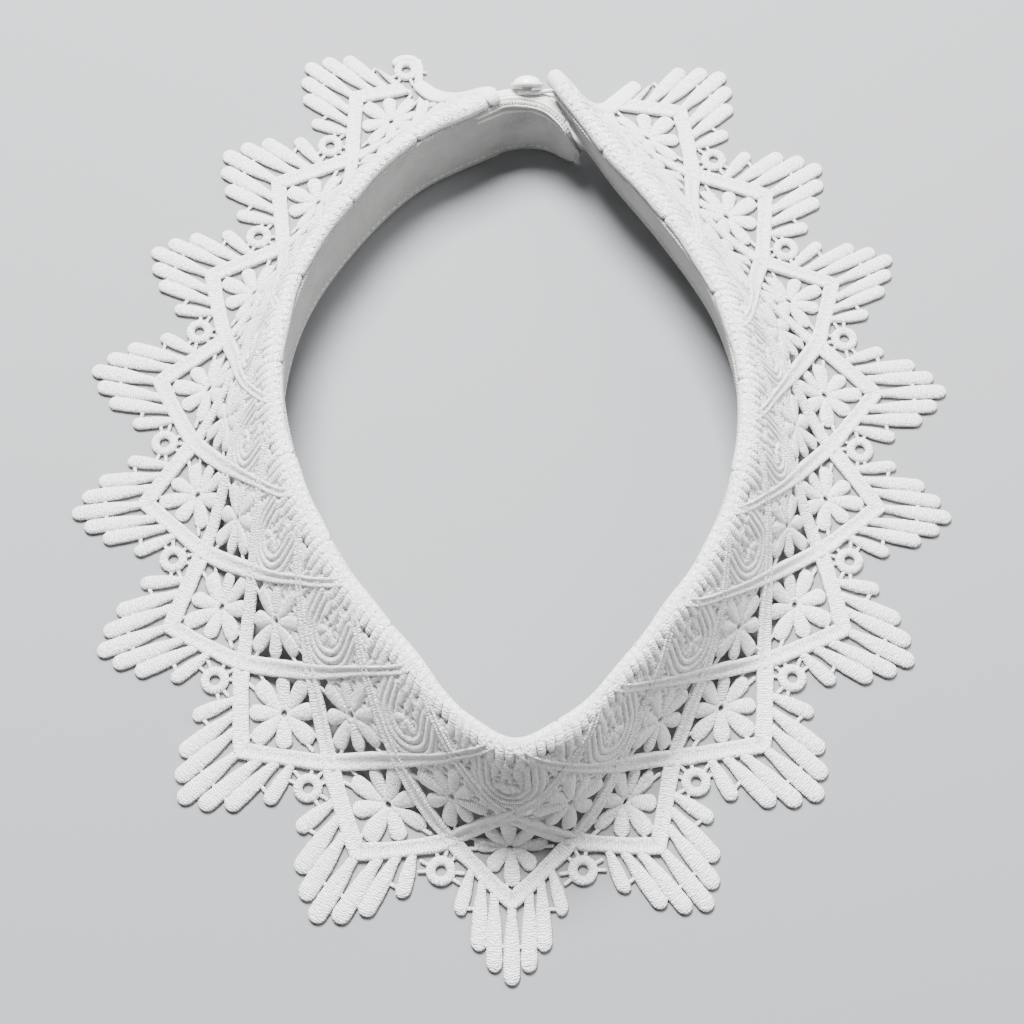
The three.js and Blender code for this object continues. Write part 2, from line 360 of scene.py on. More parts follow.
Spot = tuple[Sequence[float], Point]        # a point's place, and its run and side


def new_cloth() -> bmesh.types.BMesh:
    """Starts mesh work that keeps each corner's run and side in a UV map.

    Returns:
        The empty mesh work.
    """
    work = bmesh.new()
    work.loops.layers.uv.new("stitch")
    return work


def wrap_grid(
        work: bmesh.types.BMesh, stations: int, sides: int, spot: Callable[[int, int], Spot],
        weld: float) -> None:
    """Bends a grid into a tube, welded along its seam.

    Args:
        work: the mesh work that it joins, from new_cloth().
        stations: its steps along the tube.
        sides: its steps round the tube.
        spot: gives the place, and the run and side, for a station and a side.
        weld: points nearer than this are one.
    """
    stitch = work.loops.layers.uv["stitch"]
    made = bmesh.ops.create_grid(work, x_segments=stations, y_segments=sides, size=0.5)["verts"]
    worked = {}
    for vert in made:
        station, side = round((vert.co.x + 0.5) * stations), round((vert.co.y + 0.5) * sides)
        vert.co, worked[vert] = spot(station, side)
    for face in {face for vert in made for face in vert.link_faces}:
        for corner in face.loops:
            corner[stitch].uv = worked[corner.vert]
    bmesh.ops.remove_doubles(work, verts=made, dist=weld)


class Stitchery:
    """Satin bars worked flat in one mesh, with each one's run and side kept in a UV map."""

    UNEVEN = 0.035      # how much a bar's width wanders

    def __init__(self, seed: int, weld: float = 0.004) -> None:
        """Starts with an empty cloth.

        Args:
            seed: settles how the bars' widths wander.
            weld: points nearer than this are one.
        """
        self.mesh = new_cloth()
        self.weld = weld
        self.chance = random.Random(seed)

    @staticmethod
    def _centre_line(bar: Bar) -> tuple[np.ndarray, np.ndarray, np.ndarray]:
        """A bar's centre line, before its ends are rounded.

        Args:
            bar: the bar.

        Returns:
            Its centres, mitred sideways directions and run.
        """
        corners = np.array(bar.route, float)
        points = [corners[:1]]
        for start, end in zip(corners[:-1], corners[1:]):
            count = max(1, math.ceil(np.linalg.norm(end - start) / bar.step))
            shares = np.linspace(0, 1, count + 1)[1:, None]
            points.append(start + (end - start) * shares)
        centres = np.vstack(points)
        steps = np.diff(centres, axis=0)
        sides = unit(np.stack([-steps[:, 1], steps[:, 0]], axis=1))
        first, last = (sides[-1:], sides[:1]) if bar.closed else (sides[:1], sides[-1:])
        mean = (np.vstack([first, sides]) + np.vstack([sides, last])) / 2
        sideways = mean / (mean ** 2).sum(axis=1, keepdims=True)
        run = np.concatenate([[0.0], np.linalg.norm(steps, axis=1).cumsum()])
        return centres, sideways, run

    def _stations(self, bar: Bar) -> tuple[np.ndarray, ...]:
        """Works out a bar's stations, close together at its round ends.

        Args:
            bar: the bar.

        Returns:
            Centres, sideways directions, half widths, fullness and run, one for each station.
        """
        centres, sideways, run = self._centre_line(bar)
        length = run[-1]
        at = run
        if not bar.closed:
            ends = np.array((bar.width[0], bar.width[-1])) / 2
            ends = np.minimum(ends, length * 0.45)
            easing = 1 - np.cos(np.radians((0, 20, 42, 65, 90)))
            inner = run[(run > ends[0] * 1.15) & (run < length - ends[1] * 1.15)]
            at = np.concatenate([ends[0] * easing, inner, length - (ends[1] * easing)[::-1]])
        half = np.interp(at / length, np.linspace(0, 1, len(bar.width)), bar.width) / 2
        wander = np.array([self.chance.uniform(-1, 1) for _ in at]) * self.UNEVEN
        full = np.ones(len(at))
        if bar.closed:
            wander[-1] = wander[0]
        else:
            near = np.minimum(at / ends[0], (length - at) / ends[1])
            full = np.sqrt(np.clip(1 - (1 - np.clip(near, 0, 1)) ** 2, 0, 1))
        spread = [np.stack([np.interp(at, run, grid[:, axis]) for axis in range(2)], axis=1)
                  for grid in (centres, sideways)]
        return spread[0], spread[1], half * (1 + wander), full, at

    @staticmethod
    def _section(kind: Section, sides: int) -> list[tuple[float, float]]:
        """The outline of a bar's cross-section.

        Args:
            kind: its kind.
            sides: its steps round the bar.

        Returns:
            Points round it: sideways from -1 to 1, and up from 0 to 1.
        """
        points = []
        for side in range(sides + 1):
            turn = 2 * math.pi * side / sides
            up = math.sin(turn)
            if kind is Section.FLAT:
                height = 0.5 + math.copysign(0.5 * abs(up) ** 0.3, up)
            elif up < 0:
                height = 0.5 - 0.5 * abs(up) ** 0.7
            elif kind is Section.TWIN:
                height = 0.5 + 0.5 * max(abs(math.sin(2 * turn)) ** 0.7, 0.35 * up)
            else:
                height = 0.5 + 0.5 * up ** 0.85
            points.append((math.cos(turn), height))
        return points

    def lay(self, bar: Bar) -> None:
        """Works one bar: a grid bent round its section, welded along its seam and at its ends.

        Args:
            bar: the bar.
        """
        centres, sideways, half, full, run = self._stations(bar)
        section = self._section(bar.section, bar.sides)

        def spot(station: int, number: int) -> Spot:
            """The place, and the run and side, of one point of the bar.

            Args:
                station: its station along the bar.
                number: its place round the bar.

            Returns:
                (along, across, height), and (run, side).
            """
            side, up = section[number]
            reach = side * half[station] * full[station]
            along, across = centres[station] + sideways[station] * reach
            height = bar.base + bar.height * (0.5 + (up - 0.5) * full[station])
            return (along, across, height), (run[station], side * half[station])

        wrap_grid(self.mesh, len(run) - 1, bar.sides, spot, self.weld)

    def lay_all(self, bars: Iterator[Bar]) -> None:
        """Works several bars, and turns every face outwards as they lie flat.

        Args:
            bars: the bars.
        """
        for bar in bars:
            self.lay(bar)
        bmesh.ops.recalc_face_normals(self.mesh, faces=self.mesh.faces[:])

    def repeat(self, first: int, last: int, pitch: float) -> None:
        """Copies the work so far along the lace.

        Args:
            first: number of the first repeat, where the work so far is number 0.
            last: number of the last one.
            pitch: from one repeat to the next.
        """
        unit_geometry = self.mesh.verts[:] + self.mesh.edges[:] + self.mesh.faces[:]
        for number in range(first, last + 1):
            if number == 0:
                continue
            copy = bmesh.ops.duplicate(self.mesh, geom=unit_geometry)["geom"]
            verts = [item for item in copy if isinstance(item, bmesh.types.BMVert)]
            bmesh.ops.translate(self.mesh, verts=verts, vec=(number * pitch, 0, 0))

    def trim(self, low: float, high: float) -> None:
        """Cuts the work off square at both ends and closes the cuts.

        Args:
            low: where the left end is cut.
            high: where the right end is cut.
        """
        for at, towards in ((low, -1), (high, 1)):
            geometry = self.mesh.verts[:] + self.mesh.edges[:] + self.mesh.faces[:]
            cut = bmesh.ops.bisect_plane(
                self.mesh, geom=geometry, dist=1e-5, plane_co=(at, 0, 0), plane_no=(towards, 0, 0),
                clear_outer=True)["geom_cut"]
            edges = [item for item in cut if isinstance(item, bmesh.types.BMEdge)]
            bmesh.ops.holes_fill(self.mesh, edges=edges, sides=0)

    def finish(self, name: str, place: Callable[[np.ndarray], np.ndarray]) -> bpy.types.Object:
        """Puts the work in the scene.

        Args:
            name: the piece's name.
            place: turns places on the flat work into places in the scene.

        Returns:
            The new piece, smooth shaded.
        """
        return finish_mesh(self.mesh, name, place)


def finish_mesh(
        work: bmesh.types.BMesh, name: str,
        place: Callable[[np.ndarray], np.ndarray] | None = None) -> bpy.types.Object:
    """Turns mesh work into a piece of the scene.

    Args:
        work: the mesh work, which is used up.
        name: the piece's name.
        place: turns its places into places in the scene, or None where they are there already.

    Returns:
        The new piece, smooth shaded.
    """
    mesh = bpy.data.meshes.new(name)
    work.to_mesh(mesh)
    work.free()
    if place is not None:
        spots = np.zeros(len(mesh.vertices) * 3)
        mesh.vertices.foreach_get("co", spots)
        mesh.vertices.foreach_set("co", place(spots.reshape(-1, 3)).ravel())
    mesh.polygons.foreach_set("use_smooth", [True] * len(mesh.polygons))
    mesh.update()
    piece = bpy.data.objects.new(name, mesh)
    bpy.context.scene.collection.objects.link(piece)
    return piece


# ---- Finishes ------------------------------------------------------------------------------------

class NodeSheet:
    """Short forms for building node trees."""

    def __init__(self, tree: bpy.types.NodeTree) -> None:
        """Works on one node tree."""
        self.tree = tree

    def node(self, kind: str, **settings: object) -> bpy.types.Node:
        """Adds a node.

        Args:
            kind: its type.
            settings: its properties.

        Returns:
            The node.
        """
        made = self.tree.nodes.new(kind)
        for name, value in settings.items():
            setattr(made, name, value)
        return made

    def feed(self, node: bpy.types.Node, **inputs: object) -> bpy.types.Node:
        """Fills a node's inputs.

        Args:
            node: the node.
            inputs: sockets or plain values, named with _ for spaces, or i and a number.

        Returns:
            The same node.
        """
        for name, value in inputs.items():
            key = int(name[1:]) if name[0] == "i" and name[1:].isdigit() else name.replace("_", " ")
            if isinstance(value, bpy.types.NodeSocket):
                self.tree.links.new(value, node.inputs[key])
            else:
                node.inputs[key].default_value = value
        return node

    def math(self, operation: str, *values: object) -> bpy.types.NodeSocket:
        """Adds a Math node.

        Args:
            operation: what it works out.
            values: its inputs, as sockets or numbers.

        Returns:
            Its result.
        """
        made = self.node("ShaderNodeMath", operation=operation)
        self.feed(made, **{f"i{index}": value for index, value in enumerate(values)})
        return made.outputs[0]

    def noise(
            self, vector: bpy.types.NodeSocket, scale: float, detail: float = 2.0) -> bpy.types.NodeSocket:
        """Adds a Noise Texture.

        Args:
            vector: the places that it reads.
            scale: its scale.
            detail: its detail.

        Returns:
            Its value.
        """
        made = self.node("ShaderNodeTexNoise")
        self.feed(made, Vector=vector, Scale=scale, Detail=detail)
        return made.outputs["Fac"]

    def ramp(self, value: bpy.types.NodeSocket, low: float, high: float, dark: float, light: float
             ) -> bpy.types.NodeSocket:
        """Spreads a value's range.

        Args:
            value: the value.
            low: where its range starts.
            high: where its range ends.
            dark: the result at low.
            light: the result at high.

        Returns:
            The result.
        """
        made = self.node("ShaderNodeMapRange")
        self.feed(made, Value=value, From_Min=low, From_Max=high, To_Min=dark, To_Max=light)
        return made.outputs["Result"]


def new_group(name: str, inputs: dict[str, tuple[str, float]], outputs: dict[str, str]
              ) -> tuple[bpy.types.NodeTree, NodeSheet, bpy.types.Node, bpy.types.Node]:
    """Starts a shader node group.

    Args:
        name: the group's name.
        inputs: socket kind and first value for each named input.
        outputs: socket kind for each named output.

    Returns:
        The group, its short forms, and its input and output nodes.
    """
    group = bpy.data.node_groups.new(name, "ShaderNodeTree")
    for label, (kind, value) in inputs.items():
        socket = group.interface.new_socket(label, in_out="INPUT", socket_type=kind)
        if kind == "NodeSocketFloat":
            socket.default_value = value
    for label, kind in outputs.items():
        group.interface.new_socket(label, in_out="OUTPUT", socket_type=kind)
    sheet = NodeSheet(group)
    return group, sheet, sheet.node("NodeGroupInput"), sheet.node("NodeGroupOutput")


def new_material(name: str) -> tuple[bpy.types.Material, NodeSheet, bpy.types.Node]:
    """Starts a material.

    Args:
        name: the material's name.

    Returns:
        The material, its short forms, and its shader, already joined to its output.
    """
    made = bpy.data.materials.new(name)
    made.use_nodes = True
    made.node_tree.nodes.clear()
    sheet = NodeSheet(made.node_tree)
    shader = sheet.node("ShaderNodeBsdfPrincipled")
    sheet.feed(sheet.node("ShaderNodeOutputMaterial"), Surface=shader.outputs[0])
    return made, sheet, shader


def satin_group() -> bpy.types.NodeTree:
    """Builds the group for threads of satin stitch lying side by side.

    Returns:
        A group that gives the threads' height and the shade painted into the gaps between them.
    """
    group, sheet, given, result = new_group(
        "satin stitches",
        {"Run": ("NodeSocketFloat", 0.0), "Side": ("NodeSocketFloat", 0.0),
         "Place": ("NodeSocketVector", 0.0), "Pitch": ("NodeSocketFloat", 0.36),
         "Slant": ("NodeSocketFloat", 0.15)},
        {"Height": "NodeSocketFloat", "Gap": "NodeSocketFloat"})
    wander = sheet.ramp(sheet.noise(given.outputs["Place"], 900.0, 3.0), 0.3, 0.7, -0.28, 0.28)
    lean = sheet.math("MULTIPLY", sheet.math("ABSOLUTE", given.outputs["Side"]), given.outputs["Slant"])
    run = sheet.math("ADD", sheet.math("ADD", given.outputs["Run"], lean), wander)
    turns = sheet.math("MULTIPLY", sheet.math("DIVIDE", run, given.outputs["Pitch"]), math.pi)
    thread = sheet.math("ABSOLUTE", sheet.math("SINE", turns))
    fibre = sheet.noise(given.outputs["Place"], 5000.0, 2.0)
    lumps = sheet.ramp(sheet.noise(given.outputs["Place"], 1400.0, 2.0), 0.25, 0.75, 0.0, 1.1)
    uneven = sheet.math("ADD", sheet.math("MULTIPLY", fibre, 0.5), lumps)
    height = sheet.math("ADD", sheet.math("POWER", thread, 0.6), uneven)
    # The second output is painted shade: the colour darkens in the gaps between threads.
    sheet.feed(result, Height=height, Gap=sheet.ramp(thread, 0.0, 0.45, 1.0, 0.0))
    return group


def weave_group() -> bpy.types.NodeTree:
    """Builds the group for a plain weave.

    Returns:
        A group that gives the height of its threads and a soft unevenness of its yarn.
    """
    group, sheet, given, result = new_group(
        "plain weave",
        {"Warp": ("NodeSocketFloat", 0.0), "Weft": ("NodeSocketFloat", 0.0),
         "Place": ("NodeSocketVector", 0.0), "Pitch": ("NodeSocketFloat", 0.45)},
        {"Height": "NodeSocketFloat", "Slub": "NodeSocketFloat"})

    def thread(run: bpy.types.NodeSocket, scale: float) -> bpy.types.NodeSocket:
        """One set of threads, a little uneven in their spacing.

        Args:
            run: how far across the threads a place lies.
            scale: of the unevenness.

        Returns:
            A wave from -1 to 1.
        """
        wander = sheet.ramp(sheet.noise(given.outputs["Place"], scale), 0.3, 0.7, -0.15, 0.15)
        turns = sheet.math("DIVIDE", sheet.math("ADD", run, wander), given.outputs["Pitch"])
        return sheet.math("SINE", sheet.math("MULTIPLY", turns, 2 * math.pi))

    warp, weft = thread(given.outputs["Warp"], 700.0), thread(given.outputs["Weft"], 500.0)
    cross = sheet.math("MULTIPLY", warp, weft)
    fibre = sheet.noise(given.outputs["Place"], 4000.0, 3.0)
    height = sheet.math("ADD", sheet.math("MULTIPLY", cross, 0.5), sheet.math("MULTIPLY", fibre, 0.8))
    sheet.feed(result, Height=height, Slub=sheet.noise(given.outputs["Place"], 260.0, 4.0))
    return group


@dataclass(frozen=True)
class ClothFinish:
    """A woven or stitched cotton finish."""

    name: str
    color: tuple[float, float, float]
    painted_gap_shade_and_slub_color: tuple[float, float, float]       # darker colour: painted shade in the gaps of satin stitch, slubs in a weave, and tone drift
    group: str                              # the node group of its threads
    roughness: float = 0.7
    sheen: float = 0.25
    pitch: float = 0.36                     # of its threads, in millimetres
    relief: float = 0.05                    # of its threads, in millimetres
    patches: float = 0.06                   # how much its tone drifts over the piece
    gap_shade_and_slub_amount: float = 0.45                   # how strong the painted shade in satin stitch's gaps, and a weave's slubs, are

    def material(self) -> bpy.types.Material:
        """Makes the finish.

        Returns:
            Its material.
        """
        made, sheet, shader = new_material(self.name)
        run = sheet.node("ShaderNodeSeparateXYZ")
        sheet.feed(run, Vector=sheet.node("ShaderNodeUVMap", uv_map="stitch").outputs["UV"])
        place = sheet.node("ShaderNodeTexCoord").outputs["Object"]
        threads = sheet.node("ShaderNodeGroup", node_tree=bpy.data.node_groups[self.group])
        first, second = ("Run", "Side") if "Run" in threads.inputs else ("Warp", "Weft")
        sheet.feed(threads, Place=place, Pitch=self.pitch)
        sheet.feed(threads, **{first: run.outputs["X"], second: run.outputs["Y"]})
        tone = sheet.ramp(sheet.noise(place, 90.0, 3.0), 0.3, 0.7, 0.0, self.patches)
        # Mixes in the darker colour as painted shade in the gaps between satin threads; for a weave it marks
        # slubs, and the tone drift of both is the cloth's own.
        gap_shade_and_slub = threads.outputs["Gap"] if "Gap" in threads.outputs else threads.outputs["Slub"]
        mix = sheet.node("ShaderNodeMix", data_type="RGBA")
        gap_shade_and_slub_amount = sheet.math("ADD", sheet.math("MULTIPLY", gap_shade_and_slub, self.gap_shade_and_slub_amount), tone)
        sheet.feed(mix, i0=gap_shade_and_slub_amount, i6=(*self.color, 1.0), i7=(*self.painted_gap_shade_and_slub_color, 1.0))
        bump = sheet.node("ShaderNodeBump")
        sheet.feed(bump, Height=threads.outputs["Height"], Distance=self.relief * MM, Strength=1.0)
        sheet.feed(shader, Base_Color=mix.outputs[2], Roughness=self.roughness, Normal=bump.outputs[0],
                   Sheen_Weight=self.sheen, Sheen_Roughness=0.5, Specular_IOR_Level=0.35)
        return made


@dataclass(frozen=True)
class GlossFinish:
    """Moulded glossy plastic with a little handling wear."""

    name: str
    color: tuple[float, float, float]
    roughness: float = 0.18

    def material(self) -> bpy.types.Material:
        """Makes the finish.

        Returns:
            Its material.
        """
        made, sheet, shader = new_material(self.name)
        place = sheet.node("ShaderNodeTexCoord").outputs["Object"]
        cloud = sheet.noise(place, 400.0, 3.0)
        scuff = sheet.noise(place, 2500.0, 4.0)
        bump = sheet.node("ShaderNodeBump")
        sheet.feed(bump, Height=scuff, Distance=0.004 * MM, Strength=0.6)
        mix = sheet.node("ShaderNodeMix", data_type="RGBA")
        cool = tuple(channel * 0.9 for channel in self.color)
        sheet.feed(mix, i0=sheet.ramp(cloud, 0.35, 0.65, 0.0, 1.0), i6=(*self.color, 1.0), i7=(*cool, 1.0))
        wear = sheet.ramp(scuff, 0.4, 0.7, self.roughness, self.roughness + 0.14)
        sheet.feed(shader, Base_Color=mix.outputs[2], Roughness=wear, Normal=bump.outputs[0],
                   Coat_Weight=0.5, Coat_Roughness=0.08, IOR=1.5)
        return made


# The lace thread's darker colour is painted shade in the gaps between its satin threads.
LACE_THREAD = ClothFinish(
    "lace satin thread", (0.88, 0.875, 0.865), (0.50, 0.49, 0.475), "satin stitches", pitch=0.56,
    relief=0.21, gap_shade_and_slub_amount=0.5)
# The band's base colour is set darker than its white cotton: painted shade for its inner face, which lies in
# shadow.
SHADED_BAND_CLOTH = ClothFinish(
    "band plain weave with painted shade", (0.64, 0.635, 0.62), (0.40, 0.395, 0.38), "plain weave", roughness=0.9,
    sheen=0.05, pitch=0.75, relief=0.3, patches=0.15, gap_shade_and_slub_amount=0.6)
TAPE_CLOTH = ClothFinish(
    "end tape weave", (0.85, 0.845, 0.83), (0.60, 0.59, 0.575), "plain weave", roughness=0.8,
    sheen=0.2, pitch=0.6, relief=0.14, patches=0.12)
# The loop thread's darker colour is painted shade in the gaps between its threads.
LOOP_THREAD = ClothFinish(
    "covered loop thread", (0.84, 0.835, 0.82), (0.45, 0.44, 0.43), "satin stitches", pitch=0.3,
    relief=0.06)
BUTTON_GLOSS = GlossFinish("button gloss", (0.88, 0.88, 0.865))


def dress(piece: bpy.types.Object, material: bpy.types.Material, slot: str, *nodes: str) -> None:
    """Gives a piece its finish and its places in the frame.

    Args:
        piece: the finished piece.
        material: its material.
        slot: the record's material slot that it stands for; not used.
        nodes: the plain solids that it stands for.
    """
    piece.data.materials.clear()
    piece.data.materials.append(material)
    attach(piece, "root")
    if nodes:
        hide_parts(*nodes)
    triangles = sum(len(face.vertices) - 2 for face in piece.data.polygons)
    LOG.info("%s: %d triangles", piece.name, triangles)


# ---- The lace ------------------------------------------------------------------------------------

@dataclass
class Lace:
    """The guipure lace: a diamond lattice with a motif in each cell, over a fringe of fingers."""

    form: CollarForm
    chevron: float = -11.0          # the point of the outer zigzag band, at a scallop's middle
    cell: float = 12.15             # height of half a lattice cell
    band_width: float = 3.6
    band_height: float = 1.45
    petal_height: float = 1.3
    finger_height: float = 1.4
    bride_width: float = 0.8
    bride_height: float = 0.6
    hem_width: float = 4.0
    hem_height: float = 1.45
    end_cut: float = 4.2            # the lace stops beside the end tapes here
    net_foot: float = 14.0          # the close ground starts here, across the lace
    net_top: float = 30.5           # and ends here
    eyelet: Point = (0.0, -6.9)     # middle of the ring in a valley
    shell_top: float = 29.5         # where the shell's cords end under the roll
    ribs: int = 12                  # short ribs at the neck edge, for each scallop
    rib_feet: tuple[float, ...] = (28.0, 28.2, 30.5, 30.7, 28.4, 28.0, 29.9)    # where they start

    @property
    def middle(self) -> float:
        """Where the first scallop's middle is along the lace."""
        return self.form.pitch / 2

    def bride(self, *route: Point) -> Bar:
        """A thin joining bar."""
        return Bar(route, (self.bride_width,), height=self.bride_height, base=0.35, sides=6, step=2.0)

    def lattice(self) -> Iterator[Bar]:
        """One V of the lattice: a band up each way from the chevron's point to the neck edge.

        Yields:
            The V, as one bar.
        """
        mid, half = self.middle, self.form.pitch / 2
        arm = [(half * step, self.cell * (step - 1)) for step in range(1, 4)]
        arm.append((half * 3.85, 33.6))
        right = [(mid + along, across) for along, across in arm]
        left = [(mid - along, across) for along, across in reversed(arm)]
        wide = self.band_width
        widths = [wide * share for share in (0.55, 0.62, 0.95, 1, 1, 1, 0.95, 0.62, 0.55)]
        yield Bar((*left, (mid, self.chevron), *right), widths, height=self.band_height,
                  section=Section.TWIN, sides=16, step=1.3)

    def petal(self, middle: Point, degrees: float, start: float, end: float, wide: float = 3.3) -> Bar:
        """A club-shaped petal pointing away from a middle."""
        widths = (0.45 * wide, 0.74 * wide, 0.95 * wide, 1.02 * wide, wide)
        return Bar(ray(middle, degrees, start, end), widths, height=self.petal_height, sides=10, step=0.9)

    def flower(self, middle: Point, reaches: Sequence[float], turn: float = 0.0) -> Iterator[Bar]:
        """A flower of petals round an eyelet, each tied to the lattice by a bride.

        Args:
            middle: the eyelet's centre.
            reaches: how far each petal reaches, from the outermost one round.
            turn: how far the flower is turned, in degrees.

        Yields:
            Its bars.
        """
        broad, narrow, eyelet_radius, petal_foot = 3.75, 3.45, 1.35, 1.3
        yield Bar(ring(middle, eyelet_radius), (1.5,), height=1.15, closed=True, sides=8, step=0.6)
        for number, reach in enumerate(reaches):
            degrees = turn + number * 360 / len(reaches)
            tied = number % 2 == 0
            yield self.petal(middle, degrees, petal_foot, reach, broad if tied else narrow)
            if tied:
                for lean in (-9, 9):
                    yield self.bride(*ray(middle, degrees + lean, reach - 0.9, reach + 1.5))

    def shell(self) -> Iterator[Bar]:
        """The motif near the neck edge: U-shaped cords, one inside another, round three petals.

        Yields:
            Its bars.
        """
        middle, top = (self.middle, 23.4), self.shell_top
        cords = (       # radius of the turn, width, height
            (8.0, 1.6, 1.3),
            (6.3, 1.6, 1.4),
            (4.6, 1.5, 1.35),
        )
        for radius, wide, high in cords:
            arc = ring(middle, radius, -90, 90, 20)
            yield Bar(((arc[0][0], top), *arc, (arc[-1][0], top)), (wide,), height=high, sides=8)
        for degrees in (-52, 0, 52):
            yield self.petal(middle, degrees, 0.2, 3.9, 2.3)
        for sideways in (-2.6, 0.0, 2.6):
            along = middle[0] + sideways
            yield Bar(((along, 24.6), (along, top + 0.1)), (1.5, 2.2, 2.2, 1.6), height=1.2, sides=8)

    def fan(self) -> Iterator[Bar]:
        """The motif over a valley, between two shells: three nested ropes in a V, and two short bars.

        Yields:
            Its bars.
        """
        top, slope = 29.2, 1.75
        for inset in (2.6, 4.6, 6.6):
            low = 13.6 + inset * slope
            for side in (-1, 1):
                route = ((0.0, low), (side * (top - low) / slope * 0.9, top))
                yield Bar(route, (1.45,), height=1.2, sides=8, step=1.4)
        for across in (15.8, 19.2):
            yield Bar(((0.0, across - 1.5), (0.0, across + 1.3)), (1.4, 2.3, 2.0), height=1.25, sides=8)

    def net(self) -> Iterator[Bar]:
        """The close ground behind the motifs on the collar's wall: waved rows, and leaning columns.

        Yields:
            Its bars.
        """
        pitch, rows, row_pitch, columns, waves = self.form.pitch, 9, 1.85, 14, 8
        for row in range(rows):
            across = self.net_foot + row * row_pitch
            wave = [(pitch * step / waves, across + 0.7 * (step % 2)) for step in range(waves + 1)]
            yield Bar(wave, (1.6,), height=0.95, sides=6, step=4.0)
        for column in range(columns):
            along = (column + 0.5) * pitch / columns
            lean = 0.7 * (-1) ** column
            route = ((along - lean, self.net_foot - 0.8), (along + lean, self.net_top))
            yield Bar(route, (1.3,), height=1.05, sides=6, step=2.0)

    def neck_edge(self) -> Iterator[Bar]:
        """Close short ribs over the roll, with small holes left under some of them.

        Yields:
            The ribs, and the two cords that they cross.
        """
        edge, pitch = self.form.fall, self.form.pitch
        spacing = pitch / self.ribs
        for rib in range(self.ribs):
            along = (rib + 0.5) * spacing
            low = self.rib_feet[rib % len(self.rib_feet)]
            yield Bar(((along, low), (along, edge + 0.1)), (0.86 * spacing, 1.1 * spacing, 1.2 * spacing),
                      height=1.3, base=0.1, sides=8, step=1.2)
        yield Bar(((0, 33.9), (pitch, 33.9)), (2.9,), height=1.27, base=0.05, sides=10, step=1.5)
        yield Bar(((0, 28.3), (pitch, 28.3)), (1.5,), height=1.15, sides=8, step=1.5)

    def fingers(self) -> Iterator[Bar]:
        """The seven fingers that hang from a scallop's zigzag band, and the fine brides between them.

        Yields:
            Its bars.
        """
        rows = (        # along at the band, across at the band, along at the tip, across at the tip, width
            (0.0, -12.0, 0.0, -27.5, 3.75),
            (3.9, -9.0, 3.85, -25.1, 3.6),
            (6.6, -7.0, 7.5, -21.4, 3.55),
            (8.9, -5.2, 12.0, -15.0, 3.1),
        )
        mid = self.middle
        for side in (-1, 1):
            for number, (foot, out, tip, end, wide) in enumerate(rows):
                if number == 0 and side > 0:
                    continue
                widths = (0.55 * wide, 0.6 * wide, 0.82 * wide, 0.96 * wide, wide, wide, wide)
                yield Bar(((mid + side * foot, out), (mid + side * tip, end)), widths,
                          height=self.finger_height, sides=12, step=0.9)
            for share, (near, far) in ((0.34, (0, 1)), (0.45, (1, 2)), (0.62, (1, 2)), (0.5, (2, 3))):
                foot, out, _, end, _ = rows[near]
                _, _, far_tip, far_end, _ = rows[far]
                across = out + (max(end, far_end) - out) * (0.25 + share)
                yield self.bride(
                    (mid + side * (foot + 1.0), across), (mid + side * (far_tip - 1.0), across - 0.5))

    def valley_ring(self) -> Iterator[Bar]:
        """The round eyelet in the valley between two scallops, tied on all sides.

        Yields:
            Its bars.
        """
        yield Bar(ring(self.eyelet, 2.1), (1.95,), height=1.4, closed=True, sides=12, step=0.7)
        for reach, turns in ((5.2, (-150, 150, 180)), (4.9, (-100, 100, -72, 72))):
            for degrees in turns:
                yield self.bride(*ray(self.eyelet, degrees, 2.6, reach))

    def ground_bars(self) -> Iterator[Bar]:
        """The lattice and the two flowers of one repeat.

        Yields:
            Its bars.
        """
        yield from self.lattice()
        yield from self.flower((self.middle, 0.7), (8.7, 7.4, 8.5, 7.3, 8.6, 7.3, 8.5, 7.4), 2.0)
        yield from self.flower((0.0, 12.2), (8.7, 7.5, 9.0, 7.4, 9.0, 7.4, 9.0, 7.5), -3.0)

    def wall_bars(self) -> Iterator[Bar]:
        """The motifs of one repeat on the collar's steep wall."""
        yield from self.shell()
        yield from self.fan()

    def hems(self) -> Iterator[Bar]:
        """The flat tapes that bind the two back ends, the left one with a curl round its eyelet.

        Yields:
            The left tape, its curl and the right tape.
        """
        wide, top = self.hem_width, self.form.fall + 0.4
        left, right = wide / 2, self.form.length - wide / 2
        left_foot, right_foot = -2.6, -10.5
        curl = ((1.6, -1.6), *ring(self.eyelet, 3.5, -155, 15))
        yield Bar(((left - 0.4, left_foot), (left, top)), (0.8 * wide, wide, wide, wide, wide, 1.3 * wide),
                  height=self.hem_height, section=Section.FLAT, sides=20, step=0.8)
        yield Bar(curl, (2.4, 1.6, 1.5, 1.6, 1.9),
                  height=self.hem_height, section=Section.FLAT, sides=14, step=0.6)
        yield Bar(((right, right_foot), (right, top)), (0.8 * wide, wide, wide, wide, 1.2 * wide, 1.7 * wide),
                  height=self.hem_height, section=Section.FLAT, sides=20, step=0.8)

    def work(self, name: str, bars: Iterator[Bar], extra: int, seed: int,
             settle: Callable[[np.ndarray], np.ndarray], whole: bool = False) -> bpy.types.Object:
        """Works one repeat, copies it round the collar, trims its ends and drapes it.

        Args:
            name: the piece's name.
            bars: the bars of one repeat.
            extra: how many repeats past each end reach into the collar.
            seed: settles how the bars' widths wander.
            settle: turns places on the flat lace into places in the scene.
            whole: whether its ends are left as they are.

        Returns:
            The draped piece.
        """
        cloth = Stitchery(seed)
        cloth.lay_all(bars)
        cloth.repeat(-extra, self.form.scallops - 1 + extra, self.form.pitch)
        if not whole:
            cloth.trim(self.end_cut, self.form.length - self.end_cut)
        return cloth.finish(name, settle)

